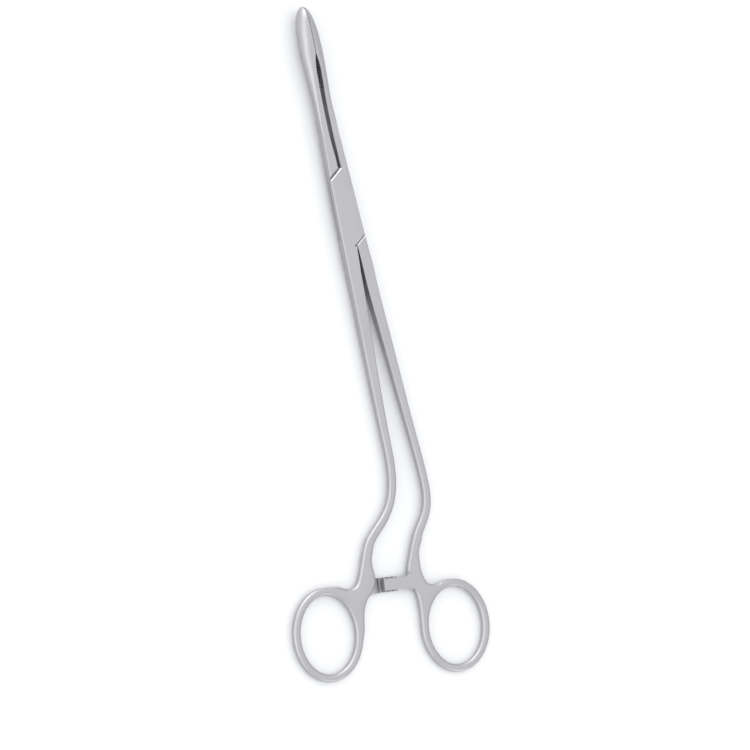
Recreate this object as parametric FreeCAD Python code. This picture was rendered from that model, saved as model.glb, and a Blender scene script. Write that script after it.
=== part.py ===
"""Dressing forceps, 250 mm: box lock, serrated spoon jaws, offset finger-ring handles, ratchet.

Frame: millimetres. The pivot axis is Z, the flat underside of the box lies on Z = 0, +Y runs along the
main axis to the jaw tips, +X is to the right with the box face towards the viewer. The solids stand in the
closed position.
"""

import FreeCAD, Part
import math
import os

V = FreeCAD.Vector

# box lock: flanks as (x, share of the half length), with their directions at the two ends
box_thickness = 4.6
box_half_length = 24.0
box_edge_radius = 0.6
box_left = [(-4.60, -1), (-4.47, -0.583), (-4.28, 0), (-3.86, 0.583), (-3.50, 1)]
box_right = [(5.60, -1), (5.02, -0.583), (4.42, 0), (3.86, 0.583), (3.50, 1)]
box_left_ends = (V(0.02, 1, 0), V(0.03, 1, 0))
box_right_ends = (V(-0.04, 1, 0), V(-0.02, 1, 0))
seam_slope = 0.767
seam_top = V(1.00, 14.4, 0)
seam_bottom = V(0.62, -14.36, 0)
fit_clearance = 0.06
shoulder_gap = 0.75
shoulder_corner_x = -0.30
foot_corner_x = 0.80
cheek_chamfers = (0.50, 0.22)
shoulder_chamfer = 0.15
foot_chamfer = 0.50
chamfer_depth = 0.42
chamfer_length = 12.0
chamfer_overrun = 0.9

# cheeks, the slot between them and the tongue that fills it, set back a little from the flanks
cheek_thickness = 1.5
slot_end_right = seam_top + V(3.05, -3.20, 0)
slot_end_left = seam_bottom + V(-5.02, 3.16, 0)
tongue_right_edge = [seam_top + V(2.74, -3.10, 0), V(4.26, 0, 0), seam_bottom + V(4.18, 2.36, 0)]
tongue_left_edge = [seam_bottom + V(-4.92, 3.36, 0), V(-4.12, 0, 0), seam_top + V(-4.74, -1.40, 0)]
tongue_top_root = seam_top + V(-1.40, 0.90, 0)
tongue_bottom_root = seam_bottom + V(0.68, -0.64, 0)
shank_parting_x = 0.0
shank_inner = [seam_bottom + V(0.40, -2.64, 0), V(1.30, -box_half_length, 0)]

# pivot
pivot_radius = 1.25
pivot_clearance = 0.04

# jaws: sections as (share of the way from the lock to the spoon, half width, half depth, corner radii across
# and in height); past the last one the spoon's tip follows two power curves
jaw_tip_y = 74.95
jaw_tip_length = 13.6
jaw_half_width = 4.07
jaw_half_depth = 4.45
jaw_corner_flat = 0.12
corner_steps = 6
jaw_stations = [(0.16, 3.36, 2.30, 0.8, 0.8), (0.32, 3.28, 2.35, 1.2, 1.2), (0.48, 3.34, 2.72, 1.8, 1.8),
                (0.64, 3.66, 3.35, 2.6, 2.6), (0.80, 4.02, 3.85, 3.4, 3.4), (0.91, 4.14, 4.12, 3.84, 3.72)]
tip_shares = (0, 0.25, 0.45, 0.62, 0.76, 0.87, 0.94, 0.98, 0.995)
tip_powers = (1.7, 0.52)
nose_length = 6.45
neck_gap_left = 0.90
neck_gap_right = 0.75
gap_start_y = jaw_tip_y - 24.95
gap_end_y = jaw_tip_y - 17.75
tooth_pitch = 0.92
tooth_depth = 0.30
groove_width = 0.46
tooth_first_y = jaw_tip_y - 30.75
neck_left_inner = [seam_top + V(-1.36, 3.60, 0), seam_top + V(-1.66, 7.60, 0), seam_top + V(-1.90, 12.60, 0)]
neck_right_inner = [seam_top + V(-0.02, 1.60, 0), seam_top + V(-0.06, 4.60, 0),
                    seam_top + V(-0.16, 8.60, 0), seam_top + V(-0.25, 13.60, 0)]

# finger rings: centres at a radius from the pivot, each turned from the line of the handles' lean by the
# spread; the rim's ends are angles on its ellipse
handle_lean = 6.33
ring_spread = 9.27
ring_radius = 158.3
ring_stagger = 2.0
ring_tilt = 8.0
ring_hole_half_width = 10.8
ring_hole_half_length = 14.2
ring_wire = 2.9
left_rim = (88.0, 345.0)
right_rim = (95.0, -180.0)
handle_thickness = 3.2
handle_edge_radius = 1.35

# shanks: each runs from the lock to a joint placed from its ring's centre; centre lines as (share of the way
# down, bow to the right), sections as (share of the length, width, height, left and right edge radius)
leg_width = 3.7
leg_aim = V(-0.488, -0.873, 0)
loft_count = 14
left_shank_x = -2.30
left_joint = V(22.33, 26.54, 0)
left_bows = [(0.20, 3.08), (0.62, 9.488), (0.78, 11.122), (0.88, 8.512), (0.94, 3.556)]
left_stations = [(0.0, 4.60, box_thickness, box_edge_radius, 0.12), (0.2, 4.1, 4.0, 0.65, 0.5),
                 (0.4, 3.4, 3.65, 0.8, 0.8), (0.6, 2.9, 3.4, 1.0, 1.0), (0.8, 2.9, 3.3, 1.2, 1.2),
                 (0.9, 3.2, 3.2, 1.3, 1.3),
                 (1.0, leg_width, handle_thickness, handle_edge_radius, handle_edge_radius)]
right_shank_x = 3.45
right_joint = V(-7.77, 34.09, 0)
right_bows = [(0.20, 1.60), (0.62, 5.522), (0.79, 6.949), (0.88, 6.378), (0.94, 3.664)]
right_stations = [(0.0, 4.30, box_thickness, 0.12, box_edge_radius), (0.2, 3.8, 4.0, 0.5, 0.65),
                  (0.4, 3.3, 3.65, 0.8, 0.8), (0.6, 2.9, 3.4, 1.0, 1.0), (0.8, 2.9, 3.3, 1.2, 1.2),
                  (0.92, 3.2, 3.2, 1.3, 1.3),
                  (1.0, leg_width, handle_thickness, handle_edge_radius, handle_edge_radius)]

# webs from the legs into the rings, counted from the rings' centres
right_outer = [V(-7.82, 30.29, 0), V(-8.72, 26.09, 0), V(-8.52, 20.09, 0), V(-6.82, 17.09, 0),
               V(-3.62, 16.49, 0)]
right_inner = [V(-12.87, 7.09, 0), V(-12.57, 12.09, 0), V(-13.12, 16.09, 0), V(-14.42, 20.09, 0),
               V(-14.52, 23.09, 0), V(-13.32, 26.59, 0)]
left_outer = [V(19.13, 24.04, 0), V(17.73, 20.54, 0), V(16.23, 17.34, 0), V(14.43, 14.94, 0),
              V(11.83, 14.34, 0), V(7.53, 16.14, 0)]
left_inner = [V(14.27, -1.46, 0), V(15.63, 4.54, 0), V(18.43, 9.54, 0), V(21.43, 12.54, 0),
              V(22.73, 16.04, 0), V(22.63, 20.54, 0)]

# ratchet: lengths along the arc of closing; the lugs' roots are counted from the rings, the rest from the
# line of the handles' lean; a hollow corner is (distance back from the root, reach along, reach outwards)
ratchet_setback = 19.7
ratchet_pitch = 1.95
ratchet_tooth = 0.75
ratchet_clearance = 0.08
tooth_count = 4
tooth_reach = 4.0
tooth_lap = 0.02
upper_lug_width = 4.3
upper_lug_end = -1.5
upper_lug_inset = 14.0
upper_teeth_start = -1.1
upper_lug_ground = [(2.0, 7.0)]
upper_hollow_near = (4.5, 1.8, 1.8)
upper_hollow_far = (3.2, 4.3, 4.3)
hollow_steps = 10
lower_lug_width = 5.3
lower_lug_end = 4.4
lower_lug_inset = 15.58
lower_lug_ground = [(1.4, -6.25), (0.0, 5.65)]
lower_hollow_near = (7.0, 3.6, 3.6)
lower_hollow_far = (6.8, 6.2, 3.0)
lower_teeth_start = -3.0

# shared
join_tolerance = 0.003
pick_tolerance = 0.01
margin = 1.0
beyond = 4 * jaw_half_width
overshoot = 0.3
mid = box_thickness / 2
leg_aim.normalize()


def prism(points, z0, z1):
    """Polygon in the XY plane, extruded between two heights."""
    corners = [V(p.x, p.y, z0) for p in points]
    wire = Part.makePolygon(corners + corners[:1])
    return Part.Face(wire).extrude(V(0, 0, z1 - z0))


def spline(points, first=None, last=None):
    """Interpolated curve with optional end directions."""
    curve = Part.BSplineCurve()
    if first is None:
        curve.interpolate(points)
    else:
        curve.interpolate(Points=points, InitialTangent=first, FinalTangent=last)
    return curve.toShape()


def arc(a, m, b):
    return Part.Arc(a, m, b).toShape()


def section(centre, across, width, height, radius_minus, radius_plus):
    """Rounded rectangle standing across a path; the two radii belong to its two sides."""
    def at(s, z):
        return V(centre.x + across.x * s, centre.y + across.y * s, mid + z)
    w, h, a, b = width / 2, height / 2, radius_minus, radius_plus
    k = 1 - math.sqrt(0.5)
    edges = [
        Part.makeLine(at(-w + a, h), at(w - b, h)),
        arc(at(w - b, h), at(w - b * k, h - b * k), at(w, h - b)),
        Part.makeLine(at(w, h - b), at(w, b - h)),
        arc(at(w, b - h), at(w - b * k, b * k - h), at(w - b, -h)),
        Part.makeLine(at(w - b, -h), at(a - w, -h)),
        arc(at(a - w, -h), at(a * k - w, a * k - h), at(-w, a - h)),
        Part.makeLine(at(-w, a - h), at(-w, h - a)),
        arc(at(-w, h - a), at(a * k - w, h - a * k), at(a - w, h)),
    ]
    return Part.Wire(edges)


def jaw_section(y, half_width, half_depth, corner_x, corner_z):
    """Section of the closed jaw pair: a rectangle whose four corners are quarter ellipses."""
    def quarter(sx, sz):
        """Corner ellipse from its top or bottom end round to its side."""
        cx, cz = sx * (half_width - corner_x), sz * (half_depth - corner_z)
        pts = []
        for i in range(corner_steps + 1):
            t = math.pi / 2 * i / corner_steps
            pts.append(V(cx + sx * corner_x * math.sin(t), y, mid + cz + sz * corner_z * math.cos(t)))
        curve = Part.BSplineCurve()
        curve.interpolate(Points=pts, InitialTangent=V(sx, 0, 0), FinalTangent=V(0, 0, -sz))
        return curve, pts
    edges = []
    ends = []
    for sx, sz in ((1, 1), (1, -1), (-1, -1), (-1, 1)):
        curve, pts = quarter(sx, sz)
        forward = sx * sz > 0
        edges.append(curve)
        ends.append((pts[0], pts[-1]) if forward else (pts[-1], pts[0]))
        if not forward:
            curve.reverse()
    out = []
    for i in range(4):
        out.append(edges[i].toShape())
        out.append(Part.makeLine(ends[i][1], ends[(i + 1) % 4][0]))
    return Part.Wire(out)


def envelope():
    """Outer shape of the lock and both closed jaws, before it is divided between the two halves."""
    left_points = [V(x, share * box_half_length, 0) for x, share in box_left]
    right_points = [V(x, share * box_half_length, 0) for x, share in box_right]
    left = spline(left_points, *box_left_ends)
    right = spline(right_points, *box_right_ends)
    top = Part.makeLine(left_points[-1], right_points[-1])
    bottom = Part.makeLine(left_points[0], right_points[0])
    face = Part.Face(Part.Wire(Part.__sortEdges__([left, top, right, bottom])))
    block = face.extrude(V(0, 0, box_thickness))
    long_edges = [e for e in block.Edges if e.BoundBox.ZLength < pick_tolerance
                  and abs(e.BoundBox.YLength - 2 * box_half_length) < pick_tolerance]
    block = block.makeFillet(box_edge_radius, long_edges)
    start = jaw_tip_y - jaw_tip_length
    way = start - box_half_length
    shapes = [(box_half_length, right_points[-1].x, mid, box_edge_radius, box_edge_radius)]
    for share, *sizes in jaw_stations:
        shapes.append((box_half_length + way * share, *sizes))
    for t in tip_shares:
        y = start + jaw_tip_length * t
        nose = max(0, 1 - (jaw_tip_y - y) / nose_length)
        width = jaw_half_width * (1 - t ** tip_powers[0]) ** tip_powers[1]
        depth = jaw_half_depth * math.sqrt(1 - nose ** 2)
        flat = jaw_corner_flat * math.sqrt(1 - t ** 2)
        shapes.append((y, width, depth, width - flat, depth - flat))
    jaws = Part.makeLoft([jaw_section(*s) for s in shapes], True, False)
    return block.fuse([jaws], join_tolerance).removeSplitter()


def gap_half(y, full):
    """One side's share of the gap between the inner faces of the closed jaws."""
    t = (gap_end_y - y) / (gap_end_y - gap_start_y)
    t = min(1, max(0, t))
    return full * math.sin(math.pi / 2 * t)


def jaw_face(side):
    """Inner face line of one jaw, from the neck to past the tip: flat lands with V grooves between them."""
    full = neck_gap_right if side > 0 else neck_gap_left
    pts = []
    count = int((jaw_tip_y + margin - tooth_first_y) / tooth_pitch)
    for i in range(count + 1):
        for step, root in ((0, 0), (groove_width / 2, tooth_depth), (groove_width, 0)):
            y = tooth_first_y + tooth_pitch * i + step
            pts.append(V(side * (gap_half(y, full) + fit_clearance / 2 + root), y, 0))
    return pts


def turned(v, degrees):
    """Vector turned about the pivot axis."""
    a = math.radians(degrees)
    return V(v.x * math.cos(a) - v.y * math.sin(a), v.x * math.sin(a) + v.y * math.cos(a), 0)


def end_wall(corner, flank, inward):
    """Slot's end wall from its corner at the parting line past the flank, moved inward by a clearance."""
    along = flank - corner
    along.normalize()
    shift = V(along.y, -along.x, 0) * inward
    return [corner + shift, corner + along * beyond + shift]


def slot_region():
    """Room for the tongue in the middle layer, open at both flanks between the two end walls."""
    top = end_wall(seam_top, slot_end_right, 0)
    bottom = end_wall(seam_bottom, slot_end_left, 0)
    return top + [V(beyond, -2 * beyond, 0)] + bottom + [V(-beyond, 2 * beyond, 0)]


def tongue_region():
    """Plate that fills the slot less the running clearance and is carried on into both ends of its half."""
    top = end_wall(seam_top, slot_end_right, fit_clearance)
    bottom = end_wall(seam_bottom, slot_end_left, fit_clearance)
    right_side = [top[0]] + tongue_right_edge + [tongue_bottom_root]
    return right_side + [bottom[0]] + tongue_left_edge + [tongue_top_root]


def far_along(corner, x):
    """Point at the given x on the seam line through a corner."""
    return V(x, corner.y + seam_slope * (x - corner.x), 0)


def cheek_region():
    """Outline of the half that carries the cheeks: right jaw, lock and left shank's root."""
    end = -box_half_length - margin
    pts = [far_along(seam_top, -beyond), seam_top] + neck_right_inner
    pts += jaw_face(1)
    pts += [V(beyond, jaw_tip_y + 2 * margin, 0), far_along(seam_bottom, beyond), seam_bottom]
    pts += [V(shank_parting_x, -box_half_length, 0), V(shank_parting_x, end, 0), V(-beyond, end, 0)]
    return pts


def through_regions():
    """Outlines of the other half above and below the lock: left jaw, right shank's root."""
    end = -box_half_length - margin
    across = V(-seam_slope, 1, 0)
    across.normalize()
    lifted = seam_top + across * shoulder_gap
    corner = far_along(lifted, shoulder_corner_x)
    upper = [far_along(lifted, -beyond), corner] + neck_left_inner + jaw_face(-1)
    upper.append(V(-beyond, jaw_tip_y + 2 * margin, 0))
    lowered = seam_bottom - across * fit_clearance
    foot = far_along(lowered, foot_corner_x)
    lower = [far_along(lowered, beyond), foot] + shank_inner
    lower += [V(shank_inner[-1].x, end, 0), V(beyond, end, 0)]
    return upper, lower


def seam_chamfers():
    """Cutters for the chamfers along both seams on the top and bottom faces of the lock."""
    along = V(1, seam_slope, 0)
    along.normalize()
    across = V(-along.y, along.x, 0)
    edges = (
        (seam_top, -1, 0, -cheek_chamfers[0]),
        (seam_top, -1, shoulder_gap, shoulder_chamfer),
        (seam_bottom, 1, 0, cheek_chamfers[1]),
        (seam_bottom, 1, -fit_clearance, -foot_chamfer),
    )
    out = []
    for corner, way, offset, width in edges:
        start = corner - along * (way * chamfer_overrun) + across * offset
        for z, outward in ((box_thickness, 1), (0, -1)):
            edge = start + V(0, 0, z)
            lip = across * width
            foot = V(0, 0, -outward * chamfer_depth)
            slope = (lip - foot) * overshoot
            above = edge + V(0, 0, outward * overshoot)
            corners = [edge + lip + slope, edge + foot, above]
            face = Part.Face(Part.makePolygon(corners + corners[:1]))
            out.append(face.extrude(along * (way * chamfer_length)))
    return out


def shank_path(start_x, joint, bows):
    """Centre line from the lock's end to the joint: the straight way between them, bowed to the right."""
    start = V(start_x, -box_half_length, 0)
    way = joint - start
    return [start] + [start + way * share + V(bow, 0, 0) for share, bow in bows] + [joint]


def path_loft(points, stations, first, last):
    """Loft of rounded rectangles along a planar curve, from stations as listed with the shanks."""
    curve = Part.BSplineCurve()
    curve.interpolate(Points=points, InitialTangent=first, FinalTangent=last)
    edge = curve.toShape()
    total = edge.Length
    wires = []
    for share, width, height, r_minus, r_plus in stations:
        u = edge.getParameterByLength(total * share)
        p = edge.valueAt(u)
        t = edge.tangentAt(u)
        across = V(-t.y, t.x, 0)
        wires.append(section(p, across, width, height, r_minus, r_plus))
    return Part.makeLoft(wires, True, False)


def blend(stations, count):
    """Stations spread evenly between the given ones."""
    out = []
    for i in range(count + 1):
        s = i / count
        for a, b in zip(stations, stations[1:]):
            if a[0] <= s <= b[0] + 1e-9:
                t = (s - a[0]) / (b[0] - a[0])
                out.append(tuple([s] + [a[j] + (b[j] - a[j]) * t for j in range(1, 5)]))
                break
    return out


def ring_reach(side):
    """Radius from the pivot to the centre of a finger ring; the left ring sits a little nearer."""
    return ring_radius if side > 0 else ring_radius - ring_stagger


def ring_aside(side):
    """Distance of a ring's centre from the line of the handles' lean."""
    return ring_reach(side) * math.sin(math.radians(ring_spread))


def ring_centre(side):
    angle = math.radians(-handle_lean + side * ring_spread)
    return V(math.sin(angle), -math.cos(angle), 0) * ring_reach(side)


def on_ellipse(centre, half_width, half_length, degrees):
    """Point and direction on an ellipse whose long axis leans right by the ring tilt."""
    t = math.radians(degrees)
    p = turned(V(half_width * math.cos(t), half_length * math.sin(t), 0), -ring_tilt)
    d = turned(V(-half_width * math.sin(t), half_length * math.cos(t), 0), -ring_tilt)
    d.normalize()
    return centre + p, d


def ring_ellipse(centre, half_width, half_length):
    axis = turned(V(0, 1, 0), -ring_tilt)
    return Part.Ellipse(centre + axis * half_length, centre + turned(V(-half_width, 0, 0), -ring_tilt), centre)


def handle(side, joint, rim_ends, outer_side, inner_side):
    """Leg, web and finger ring in one plate with rounded edges; those at the joint stay sharp."""
    centre = ring_centre(side)
    outer_points = [centre + p for p in outer_side]
    inner_points = [centre + p for p in inner_side]
    a, b = ring_hole_half_width + ring_wire, ring_hole_half_length + ring_wire
    across = V(-leg_aim.y, leg_aim.x, 0)
    ring_start, ring_end = rim_ends
    far = joint + across * (side * leg_width / 2)
    near = joint - across * (side * leg_width / 2)
    p_start, d_start = on_ellipse(centre, a, b, ring_start)
    p_end, d_end = on_ellipse(centre, a, b, ring_end)
    low, high = [math.radians(end) - math.pi / 2 for end in sorted(rim_ends)]
    rim = Part.ArcOfEllipse(ring_ellipse(centre, a, b), low, high)
    edges = [
        Part.makeLine(near, far),
        spline([far] + outer_points + [p_start], leg_aim, d_start * -side),
        rim.toShape(),
        spline([p_end] + inner_points + [near], d_end * -side, leg_aim * -1),
    ]
    face = Part.Face(Part.Wire(Part.__sortEdges__(edges)))
    hole = Part.Face(Part.Wire(ring_ellipse(centre, ring_hole_half_width, ring_hole_half_length).toShape()))
    plate = face.cut(hole)
    plate.translate(V(0, 0, mid - handle_thickness / 2))
    body = plate.extrude(V(0, 0, handle_thickness))
    picked = []
    for e in body.Edges:
        if e.BoundBox.ZLength > pick_tolerance:
            continue
        p = e.valueAt((e.FirstParameter + e.LastParameter) / 2)
        if (V(p.x, p.y, 0) - joint).Length > leg_width / 4:
            picked.append(e)
    return body.makeFillet(handle_edge_radius, picked)


def ratchet_point(t, r):
    """Point in the ratchet's own frame: along the arc of closing, and outwards from the pivot."""
    a = math.radians(handle_lean)
    out = V(-math.sin(a), -math.cos(a), 0)
    along = V(math.cos(a), -math.sin(a), 0)
    return out * (ring_radius - ratchet_setback + r) + along * t


def lug(outline, z0, z1):
    """Ratchet lug plate between two heights, from an outline in the ratchet's own frame."""
    points = [ratchet_point(t, r) for t, r in outline]
    face = Part.Face(Part.makePolygon(points + points[:1]))
    face.translate(V(0, 0, z0))
    return face.extrude(V(0, 0, z1 - z0))


def teeth(first, count, level, rise, run):
    """Saw-tooth cutters across a lug; a positive rise cuts upwards, the run points away from the steep wall."""
    out = []
    outside = level - rise * tooth_lap
    for i in range(count):
        t = first + ratchet_pitch * i
        tri = []
        for s, z in ((t, outside), (t, level + rise), (t + run, outside)):
            p = ratchet_point(s, -tooth_reach)
            tri.append(V(p.x, p.y, z))
        face = Part.Face(Part.makePolygon(tri + tri[:1]))
        out.append(face.extrude(ratchet_point(0, tooth_reach) - ratchet_point(0, -tooth_reach)))
    return out


def hollow(corner_t, corner_r, reach_t, reach_r):
    """Hollow quarter-round between a lug's long side and its leg, as outline points towards the leg."""
    pts = []
    for i in range(hollow_steps + 1):
        a = math.pi / 2 * i / hollow_steps
        pts.append((corner_t + reach_t * math.sin(a), corner_r + reach_r * (1 - math.cos(a))))
    return pts


def merged(parts):
    """One clean solid out of touching or overlapping pieces."""
    body = parts[0].fuse(parts[1:], join_tolerance).removeSplitter()
    if len(body.Solids) != 1 or not body.isValid():
        raise ValueError("solids %d valid %s" % (len(body.Solids), body.isValid()))
    return body.Solids[0]


def lower_lug():
    """Lug of the box half, teeth upwards, with hollow corners at its root."""
    root, end = lower_lug_inset - ring_aside(-1), lower_lug_end
    half = lower_lug_width / 2
    top = mid - ratchet_clearance / 2
    back, reach_t, reach_r = lower_hollow_near
    near = hollow(root + back, -half, -reach_t, -reach_r)
    back, reach_t, reach_r = lower_hollow_far
    far = hollow(root + back, half, -reach_t, reach_r)
    ground = [(root + t, r) for t, r in lower_lug_ground]
    outline = [(end, -half)] + near + ground + far[::-1] + [(end, half)]
    plate = lug(outline, mid - handle_thickness / 2, top)
    return plate.cut(teeth(lower_teeth_start, tooth_count, top, -ratchet_tooth, -ratchet_pitch))


def upper_lug():
    """Lug of the through half, teeth downwards, with hollow corners at its root."""
    start, end = upper_lug_end, ring_aside(1) - upper_lug_inset
    half = upper_lug_width / 2
    low = mid + ratchet_clearance / 2
    back, reach_t, reach_r = upper_hollow_near
    near = hollow(end - back, -half, reach_t, -reach_r)
    back, reach_t, reach_r = upper_hollow_far
    far = hollow(end - back, half, reach_t, reach_r)
    ground = [(end + t, r) for t, r in upper_lug_ground]
    outline = [(start, -half)] + near + ground + far[::-1] + [(start, half)]
    plate = lug(outline, low, mid + handle_thickness / 2)
    return plate.cut(teeth(upper_teeth_start, tooth_count, low, ratchet_tooth, ratchet_pitch))


def build():
    shape = envelope()
    bottom, top = -margin - jaw_half_depth, box_thickness + margin + jaw_half_depth
    slot_bottom, slot_top = cheek_thickness, box_thickness - cheek_thickness

    cheeks = shape.common(prism(cheek_region(), bottom, top))
    cheeks = cheeks.cut(prism(slot_region(), slot_bottom, slot_top))
    upper, lower = through_regions()
    tongue = shape.common(prism(tongue_region(), slot_bottom + fit_clearance, slot_top - fit_clearance))
    left_jaw = shape.common(prism(upper, bottom, top))
    right_root = shape.common(prism(lower, bottom, top))

    down = V(0, -1, 0)
    left_end = ring_centre(-1) + left_joint
    right_end = ring_centre(1) + right_joint
    left_path = shank_path(left_shank_x, left_end, left_bows)
    right_path = shank_path(right_shank_x, right_end, right_bows)
    left_leg = path_loft(left_path, blend(left_stations, loft_count), down, leg_aim)
    right_leg = path_loft(right_path, blend(right_stations, loft_count), down, leg_aim)
    left_ring = handle(-1, left_end, left_rim, left_outer, left_inner)
    right_ring = handle(1, right_end, right_rim, right_outer, right_inner)

    chamfers = seam_chamfers()
    pin = Part.makeCylinder(pivot_radius, box_thickness)
    bore = Part.makeCylinder(pivot_radius + pivot_clearance, box_thickness)
    box_half = merged([cheeks, left_leg, left_ring, lower_lug()]).cut([pin] + chamfers)
    through_half = merged([left_jaw, right_root, tongue, right_leg, right_ring, upper_lug()])
    through_half = through_half.cut([bore] + chamfers)
    return {"box_half": box_half.Solids[0], "through_half": through_half.Solids[0], "pivot_pin": pin}


os.makedirs("parts", exist_ok=True)
for name, solid in build().items():
    solid.exportStep("parts/%s.step" % name)
    box = solid.BoundBox
    print(name, solid.ShapeType, solid.isValid(), round(solid.Volume, 1), len(solid.Faces),
          [round(v, 2) for v in (box.XMin, box.YMin, box.ZMin, box.XMax, box.YMax, box.ZMax)])
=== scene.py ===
"""Dressing forceps, 250 mm, lying on a pale table: the finish of the steel, the table, the light and the camera."""

import math

import bpy
from mathutils import Matrix, Vector


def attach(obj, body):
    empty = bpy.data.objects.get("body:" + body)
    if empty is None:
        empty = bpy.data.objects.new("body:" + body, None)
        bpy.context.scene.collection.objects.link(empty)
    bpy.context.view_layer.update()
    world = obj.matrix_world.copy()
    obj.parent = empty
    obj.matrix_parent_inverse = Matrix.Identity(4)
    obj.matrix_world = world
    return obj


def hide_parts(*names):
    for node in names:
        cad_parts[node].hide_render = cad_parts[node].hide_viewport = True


bl_info = {
    "name": "Dressing Forceps Finish",
    "version": (1, 0, 0),
    "blender": (4, 5, 0),
    "location": "View3D > Sidebar > Forceps",
    "description": "Satin steel finish, table, light and camera for the dressing forceps",
    "category": "Object",
}

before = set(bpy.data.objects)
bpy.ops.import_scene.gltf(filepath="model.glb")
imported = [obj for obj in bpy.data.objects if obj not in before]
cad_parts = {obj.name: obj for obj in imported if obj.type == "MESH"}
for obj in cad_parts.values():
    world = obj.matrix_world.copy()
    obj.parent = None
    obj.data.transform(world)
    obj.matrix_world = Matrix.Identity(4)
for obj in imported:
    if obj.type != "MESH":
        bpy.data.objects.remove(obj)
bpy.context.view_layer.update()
MM = 0.001

# Points closer than this are one point when a forged piece's loose triangles are joined.
WELD_DISTANCE = 0.001 * MM
FINISH_TREE = "forged_piece_finish"

# Where the forceps touch the table, as (y, z): the jaws' belly near their tips, and the finger rings' underside.
JAW_REST = (65.0 * MM, -2.18 * MM)
RING_REST = (-172.0 * MM, 0.68 * MM)

# The point of the forceps that is in the middle of the picture.
VIEW_MIDDLE = Vector((-2.2, -62.3, 2.3)) * MM

# Soft boxes: name, place, target and size in metres, power in watts, and whether they light the table too.
LAMPS = (
    ("key", (-0.27, 0.90, 0.32), (0, -0.05, 0), (0.9, 0.28), 7.6, False),
    ("left", (-1.00, -0.10, 0.44), (0, -0.05, 0), (1.3, 0.50), 5.4, False),
    ("front", (0.25, -1.25, 0.30), (0, -0.15, 0), (0.9, 0.25), 3.5, False),
    ("overhead", (0.50, -0.05, 1.15), (0, -0.05, 0), (1.1, 1.1), 2.2, True),
)


def linear(hex_colour):
    """Turns an sRGB hex value into the linear colour that a shader reads."""
    out = []
    for i in (0, 2, 4):
        c = int(hex_colour[i:i + 2], 16) / 255
        out.append(c / 12.92 if c <= 0.04045 else ((c + 0.055) / 1.055) ** 2.4)
    return (*out, 1.0)


def add_node(tree, kind, inputs=None, **settings):
    """Adds a node, sets its properties and its inputs: a value sets the socket, a socket is linked to it."""
    node = tree.nodes.new(kind)
    for name, value in settings.items():
        setattr(node, name, value)
    for key, value in (inputs or {}).items():
        if isinstance(value, bpy.types.NodeSocket):
            tree.links.new(value, node.inputs[key])
        else:
            node.inputs[key].default_value = value
    return node


class FORCEPS_PG_steel(bpy.types.PropertyGroup):
    """Finish of the steel"""
    colour: bpy.props.FloatVectorProperty(
        name="Steel colour", description="Colour of the satin stainless steel", default=linear("aeaeb1"),
        size=4, min=0.0, max=1.0, subtype="COLOR")
    roughness: bpy.props.FloatProperty(
        name="Roughness", description="Roughness of the satin blasted surface", default=0.55, min=0.0, max=1.0,
        subtype="FACTOR")
    grit: bpy.props.FloatProperty(
        name="Grit spacing", description="Spacing of the marks that the satin blasting leaves, as drawn",
        default=0.00035, unit="LENGTH")
    grit_depth: bpy.props.FloatProperty(
        name="Grit depth", description="Depth of the marks that the satin blasting leaves", default=0.00002,
        precision=6, unit="LENGTH")
    cloud: bpy.props.FloatProperty(
        name="Cloud size", description="Size of the slow changes of roughness from finishing by hand",
        default=0.014, unit="LENGTH")
    sharp_angle: bpy.props.FloatProperty(
        name="Sharp angle", description="Faces that meet at more than this angle keep a crisp edge",
        default=math.radians(28), subtype="ANGLE")


class FORCEPS_PG_stage(bpy.types.PropertyGroup):
    """Table, light and camera"""
    table_colour: bpy.props.FloatVectorProperty(
        name="Table colour", description="Colour of the table", default=linear("f6f7f8"), size=4, min=0.0,
        max=1.0, subtype="COLOR")
    table_size: bpy.props.FloatProperty(
        name="Table size", description="Side of the square table", default=5.0, unit="LENGTH")
    fill: bpy.props.FloatProperty(
        name="Fill light", description="Strength of the even light on the table and other matt surfaces",
        default=1.06, min=0.0)
    view_tilt: bpy.props.FloatProperty(
        name="View tilt", description="How far the camera leans to the left of straight above",
        default=math.radians(24), subtype="ANGLE")
    view_roll: bpy.props.FloatProperty(
        name="View roll", description="How far the jaws lean to the left in the picture",
        default=math.radians(12.15), subtype="ANGLE")
    view_distance: bpy.props.FloatProperty(
        name="View distance", description="From the camera to the middle of the forceps", default=1.4,
        unit="LENGTH")
    view_width: bpy.props.FloatProperty(
        name="View width", description="Width of the picture at the forceps", default=0.27398, unit="LENGTH")


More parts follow.
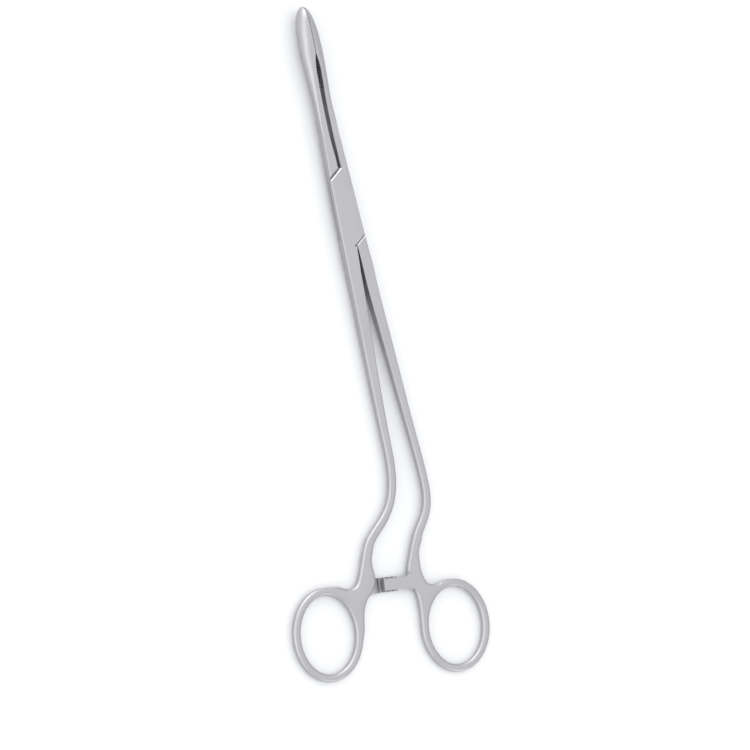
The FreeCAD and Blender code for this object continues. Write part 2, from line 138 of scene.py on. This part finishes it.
def satin_steel(name):
    """Stainless steel, satin blasted: soft grey highlights with a fine grain, no mirror reflections."""
    steel = bpy.context.scene.forceps_steel
    material = bpy.data.materials.new(name)
    material.use_nodes = True
    tree = material.node_tree
    tree.nodes.clear()
    place = add_node(tree, "ShaderNodeTexCoord").outputs["Object"]
    # Blasting leaves marks of about 0.1 mm. They are drawn over three times as coarse, or they wouldn't show.
    grit = add_node(tree, "ShaderNodeTexNoise", {
        "Vector": place, "Scale": 1 / steel.grit, "Detail": 2.0, "Roughness": 0.6})
    # Slow cloudiness of hand finishing, over about a fingertip.
    cloud = add_node(tree, "ShaderNodeTexNoise", {"Vector": place, "Scale": 1 / steel.cloud, "Detail": 1.0})
    rough = add_node(tree, "ShaderNodeMapRange", {
        "Value": cloud.outputs["Fac"], "From Min": 0.3, "From Max": 0.7,
        "To Min": steel.roughness - 0.03, "To Max": steel.roughness + 0.03})
    bump = add_node(tree, "ShaderNodeBump", {
        "Height": grit.outputs["Fac"], "Strength": 0.12, "Distance": steel.grit_depth})
    shader = add_node(tree, "ShaderNodeBsdfPrincipled", {
        "Base Color": tuple(steel.colour), "Metallic": 1.0, "Roughness": rough.outputs["Result"],
        "Normal": bump.outputs["Normal"]})
    add_node(tree, "ShaderNodeOutputMaterial", {"Surface": shader.outputs["BSDF"]})
    return material


def matt_laminate(name, colour):
    """Matt laminate: an even pale ground with no gloss of its own, which only shows the soft shadow."""
    material = bpy.data.materials.new(name)
    material.use_nodes = True
    tree = material.node_tree
    tree.nodes.clear()
    shader = add_node(tree, "ShaderNodeBsdfPrincipled", {
        "Base Color": tuple(colour), "Roughness": 0.9, "Specular IOR Level": 0.1})
    add_node(tree, "ShaderNodeOutputMaterial", {"Surface": shader.outputs["BSDF"]})
    return material


def finish_tree():
    """Geometry nodes that turn a forged piece's mesh into a closed, smoothly shaded one with crisp edges."""
    tree = bpy.data.node_groups.new(FINISH_TREE, "GeometryNodeTree")
    socket = tree.interface.new_socket
    socket("Geometry", in_out="INPUT", socket_type="NodeSocketGeometry")
    socket("Weld Distance", in_out="INPUT", socket_type="NodeSocketFloat")
    socket("Sharp Angle", in_out="INPUT", socket_type="NodeSocketFloat")
    socket("Material", in_out="INPUT", socket_type="NodeSocketMaterial")
    socket("Geometry", in_out="OUTPUT", socket_type="NodeSocketGeometry")
    given = add_node(tree, "NodeGroupInput").outputs
    welded = add_node(tree, "GeometryNodeMergeByDistance", {
        "Geometry": given["Geometry"], "Distance": given["Weld Distance"]})
    soft = add_node(tree, "GeometryNodeSetShadeSmooth", {"Geometry": welded.outputs["Geometry"]}, domain="FACE")
    angle = add_node(tree, "GeometryNodeInputMeshEdgeAngle")
    crisp = add_node(tree, "FunctionNodeCompare", {
        "A": angle.outputs["Unsigned Angle"], "B": given["Sharp Angle"]},
        data_type="FLOAT", operation="GREATER_THAN")
    sharp = add_node(tree, "GeometryNodeSetShadeSmooth", {
        "Geometry": soft.outputs["Geometry"], "Selection": crisp.outputs["Result"], "Shade Smooth": False},
        domain="EDGE")
    real = add_node(tree, "GeometryNodeRealizeInstances", {"Geometry": sharp.outputs["Geometry"]})
    dressed = add_node(tree, "GeometryNodeSetMaterial", {
        "Geometry": real.outputs["Geometry"], "Material": given["Material"]})
    add_node(tree, "NodeGroupOutput", {"Geometry": dressed.outputs["Geometry"]})
    return tree


def finished_copy(node, name, material):
    """Runs the finish tree on a copy of a frame node and returns the result as a plain mesh object."""
    steel = bpy.context.scene.forceps_steel
    tree = bpy.data.node_groups.get(FINISH_TREE) or finish_tree()
    work = bpy.data.objects.new(name + "_work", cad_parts[node].data.copy())
    bpy.context.scene.collection.objects.link(work)
    work.data.materials.clear()
    modifier = work.modifiers.new("Finish", "NODES")
    modifier.node_group = tree
    keys = {item.name: item.identifier for item in tree.interface.items_tree if item.in_out == "INPUT"}
    modifier[keys["Weld Distance"]] = WELD_DISTANCE
    modifier[keys["Sharp Angle"]] = steel.sharp_angle
    modifier[keys["Material"]] = material
    bpy.context.view_layer.update()
    seen = work.evaluated_get(bpy.context.evaluated_depsgraph_get())
    mesh = bpy.data.meshes.new_from_object(seen)
    piece = bpy.data.objects.new(name, mesh)
    bpy.context.scene.collection.objects.link(piece)
    bpy.data.objects.remove(work)
    if len(mesh.polygons) == 0:
        raise RuntimeError("the finish left nothing of " + node)
    return piece


def dress(node, body, name, material_name):
    """Puts the finished copy of a node in its place, on the body that carries it."""
    piece = finished_copy(node, name, satin_steel(material_name))
    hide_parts(node)
    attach(piece, body)


class FORCEPS_OT_box_half(bpy.types.Operator):
    """Finish the half with the box: right jaw, lock, left shank, lower ratchet lug and left finger ring"""
    bl_idname = "forceps.box_half"
    bl_label = "Box Half"

    def execute(self, context):
        dress("box_half", "box_side", "box_half_satin", "stainless_steel_satin_box_half")
        return {"FINISHED"}


class FORCEPS_OT_through_half(bpy.types.Operator):
    """Finish the half that passes through the box: left jaw, tongue, right shank, upper lug and right ring"""
    bl_idname = "forceps.through_half"
    bl_label = "Through Half"

    def execute(self, context):
        dress("through_half", "through_side", "through_half_satin", "stainless_steel_satin_through_half")
        return {"FINISHED"}


class FORCEPS_OT_pivot_pin(bpy.types.Operator):
    """Finish the rivet that is ground flush with both faces of the lock"""
    bl_idname = "forceps.pivot_pin"
    bl_label = "Pivot Pin"

    def execute(self, context):
        dress("pivot_pin", "box_side", "pivot_pin_ground", "stainless_steel_ground_pin")
        return {"FINISHED"}


def table_height(y):
    """Height of the table under a place along the forceps: the line through the two rests."""
    (jaw_y, jaw_z), (ring_y, ring_z) = JAW_REST, RING_REST
    return jaw_z + (jaw_y - y) * (ring_z - jaw_z) / (jaw_y - ring_y)


def make_table(size, material):
    """Square table top that the forceps lie on."""
    half = size / 2
    corners = [(x, y, table_height(y)) for x, y in ((-half, -half), (half, -half), (half, half), (-half, half))]
    mesh = bpy.data.meshes.new("table")
    mesh.from_pydata(corners, [], [(0, 1, 2, 3)])
    mesh.materials.append(material)
    table = bpy.data.objects.new("table", mesh)
    bpy.context.scene.collection.objects.link(table)


def make_world(fill):
    """Plain white to the camera and in reflections; on matt surfaces an even light of the given strength."""
    world = bpy.data.worlds.new("studio")
    world.use_nodes = True
    tree = world.node_tree
    tree.nodes.clear()
    path = add_node(tree, "ShaderNodeLightPath").outputs
    seen = add_node(tree, "ShaderNodeMath", {0: path["Is Camera Ray"], 1: path["Is Glossy Ray"]},
                    operation="MAXIMUM")
    seen = add_node(tree, "ShaderNodeMath", {0: seen.outputs["Value"], 1: path["Is Transmission Ray"]},
                    operation="MAXIMUM")
    strength = add_node(tree, "ShaderNodeMapRange", {
        "Value": seen.outputs["Value"], "To Min": fill, "To Max": 1.0})
    background = add_node(tree, "ShaderNodeBackground", {
        "Color": linear("ffffff"), "Strength": strength.outputs["Result"]})
    add_node(tree, "ShaderNodeOutputWorld", {"Surface": background.outputs["Background"]})
    bpy.context.scene.world = world


def look_at(place, target, up):
    """Matrix of a lamp that stands at a place and looks at a target."""
    back = (place - target).normalized()
    right = up.cross(back).normalized()
    turned = Matrix((right, back.cross(right), back)).transposed().to_4x4()
    return Matrix.Translation(place) @ turned


def make_lamp(name, place, target, size, power, on_table):
    """Soft box; one that is kept off the table only draws its highlight on the steel, and no shadow."""
    light = bpy.data.lights.new(name, "AREA")
    light.shape = "RECTANGLE"
    light.size, light.size_y = size
    light.energy = power
    lamp = bpy.data.objects.new(name, light)
    lamp.matrix_world = look_at(Vector(place), Vector(target), Vector((0, 0, 1)))
    lamp.visible_diffuse = on_table
    bpy.context.scene.collection.objects.link(lamp)


def make_camera(stage):
    """Camera at the photograph's viewing angle: to the left of straight above, turned about its own axis."""
    tilt, roll = stage.view_tilt, stage.view_roll
    back = Vector((-math.sin(tilt), 0, math.cos(tilt)))
    level = Vector((math.cos(tilt), 0, math.sin(tilt)))
    along = Vector((0, 1, 0))
    right = level * math.cos(roll) - along * math.sin(roll)
    up = level * math.sin(roll) + along * math.cos(roll)
    data = bpy.data.cameras.new("camera")
    data.lens = data.sensor_width * stage.view_distance / stage.view_width
    data.clip_start, data.clip_end = 0.05, 50
    camera = bpy.data.objects.new("camera", data)
    place = VIEW_MIDDLE + back * stage.view_distance
    camera.matrix_world = Matrix.Translation(place) @ Matrix((right, up, back)).transposed().to_4x4()
    bpy.context.scene.collection.objects.link(camera)
    bpy.context.scene.camera = camera


class FORCEPS_OT_stage(bpy.types.Operator):
    """Set the camera, the table and the light"""
    bl_idname = "forceps.stage"
    bl_label = "Table, Light and Camera"

    def execute(self, context):
        stage = context.scene.forceps_stage
        make_camera(stage)
        make_table(stage.table_size, matt_laminate("laminate_matt_white", stage.table_colour))
        make_world(stage.fill)
        for lamp in LAMPS:
            make_lamp(*lamp)
        context.scene.view_settings.view_transform = "Standard"
        return {"FINISHED"}


STEPS = (FORCEPS_OT_stage, FORCEPS_OT_box_half, FORCEPS_OT_through_half, FORCEPS_OT_pivot_pin)


class FORCEPS_PT_panel(bpy.types.Panel):
    """Lists the sizes, colours and steps of the forceps' finish"""
    bl_idname = "FORCEPS_PT_panel"
    bl_label = "Dressing Forceps"
    bl_space_type = "VIEW_3D"
    bl_region_type = "UI"
    bl_category = "Forceps"

    def draw(self, context):
        layout = self.layout
        for group in (context.scene.forceps_steel, context.scene.forceps_stage):
            for name in group.__annotations__:
                layout.prop(group, name)
        for step in STEPS:
            layout.operator(step.bl_idname)


CLASSES = (FORCEPS_PG_steel, FORCEPS_PG_stage, *STEPS, FORCEPS_PT_panel)


def register():
    for cls in CLASSES:
        bpy.utils.register_class(cls)
    bpy.types.Scene.forceps_steel = bpy.props.PointerProperty(type=FORCEPS_PG_steel)
    bpy.types.Scene.forceps_stage = bpy.props.PointerProperty(type=FORCEPS_PG_stage)


def unregister():
    del bpy.types.Scene.forceps_stage
    del bpy.types.Scene.forceps_steel
    for cls in reversed(CLASSES):
        bpy.utils.unregister_class(cls)


def main():
    register()
    bpy.ops.forceps.stage()
    bpy.ops.forceps.box_half()
    bpy.ops.forceps.through_half()
    bpy.ops.forceps.pivot_pin()


if __name__ == "__main__":
    main()
